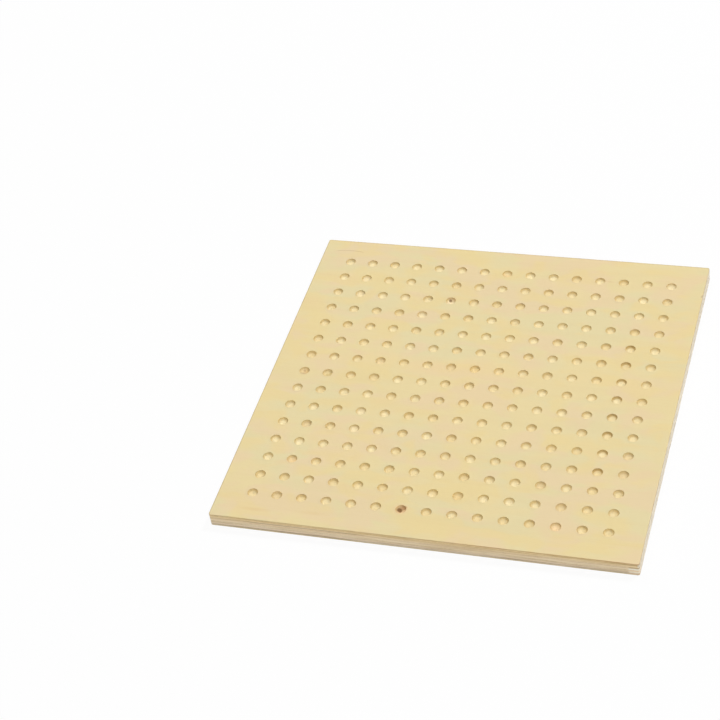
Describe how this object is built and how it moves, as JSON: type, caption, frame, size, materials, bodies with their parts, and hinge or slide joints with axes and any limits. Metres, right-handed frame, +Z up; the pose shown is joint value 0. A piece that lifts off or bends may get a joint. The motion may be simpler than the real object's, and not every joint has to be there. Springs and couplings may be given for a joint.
{
  "type": "square root board",
  "caption": "Flat square plywood board with a square grid of round dimples in its top face, each holding one counting bead.",
  "frame": {"origin": "centre of the flat underside, on the surface that the board lies on", "axes": "+X right along the front edge and the face grain, +Y to the back edge, +Z up out of the dimpled face"},
  "size_m": [0.335, 0.335, 0.012],
  "materials": {
    "face_birch": "sanded and clear lacquered birch face veneer, satin",
    "long_birch": "sawn birch core veneer with its grain along X",
    "cross_birch": "sawn birch core veneer with its grain along Y"
  },
  "bodies": {
    "root": {"top_face_veneer": "face_birch", "cross_ply_1": "cross_birch", "long_ply_1": "long_birch", "cross_ply_2": "cross_birch", "long_ply_2": "long_birch", "cross_ply_3": "cross_birch", "long_ply_3": "long_birch", "cross_ply_4": "cross_birch", "bottom_face_veneer": "face_birch"}
  },
  "joints": []
}
